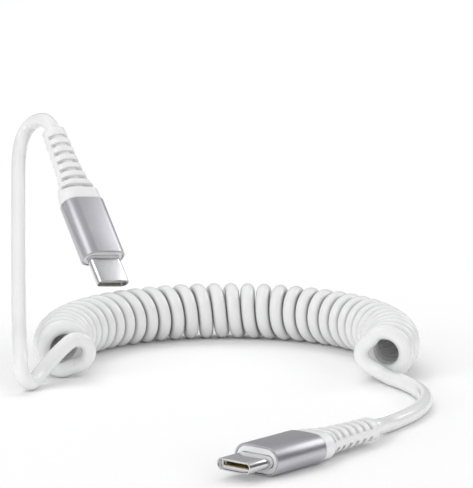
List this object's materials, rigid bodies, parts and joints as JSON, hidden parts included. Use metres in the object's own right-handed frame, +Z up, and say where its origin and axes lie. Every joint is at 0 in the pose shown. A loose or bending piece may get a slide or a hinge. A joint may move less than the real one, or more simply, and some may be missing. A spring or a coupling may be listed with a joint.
{
  "type": "charging cable",
  "caption": "White curly charging cable with a flat reversible plug on each end, metal sleeves and slotted strain reliefs.",
  "frame": {"origin": "point of the floor under the middle of the two plugs' box", "axes": "+Z up; the right plug's mouth points to -Y and -X; the coil's arc opens to -Y"},
  "size_m": [0.0909, 0.1651, 0.0476],
  "materials": {
    "white_cord": "satin gloss thermoplastic elastomer",
    "white_plastic": "gloss",
    "pale_plastic": "moulded",
    "aluminium": "fine blasted anodised, grey",
    "steel": "bright nickel plated",
    "gold": "gold plated",
    "board": "solder mask",
    "black_plastic": "moulded",
    "ceramic": "ceramic with tinned ends",
    "wire_plastic": "extruded"
  },
  "bodies": {
    "left_end": {"left_shell": "steel", "left_contact_housing": "pale_plastic", "left_upper_contacts": "gold", "left_lower_contacts": "gold", "left_side_latches": "steel", "left_ground_springs": "steel", "left_paddle_card": "board", "left_marker_chip": "black_plastic", "left_chip_resistors": "ceramic", "left_shield_can": "steel", "left_wires": "wire_plastic", "left_inner_mould": "pale_plastic", "left_ferrule": "steel", "left_bezel": "white_plastic", "left_sleeve": "aluminium", "left_strain_relief": "white_cord", "left_cable_end": "white_cord", "left_lead": "white_cord", "coil": "white_cord"},
    "right_end": {"right_shell": "steel", "right_contact_housing": "pale_plastic", "right_upper_contacts": "gold", "right_lower_contacts": "gold", "right_side_latches": "steel", "right_ground_springs": "steel", "right_paddle_card": "board", "right_marker_chip": "black_plastic", "right_chip_resistors": "ceramic", "right_shield_can": "steel", "right_wires": "wire_plastic", "right_inner_mould": "pale_plastic", "right_ferrule": "steel", "right_bezel": "white_plastic", "right_sleeve": "aluminium", "right_strain_relief": "white_cord", "right_cable_end": "white_cord", "right_lead": "white_cord"}
  },
  "joints": [
    {"name": "coil_stretch", "type": "slide", "parent": "left_end", "child": "right_end", "axis": [1, 0, 0], "range_m": [0, 0.12], "stiffness_N_per_m": 4, "deforming": ["coil"]}
  ]
}
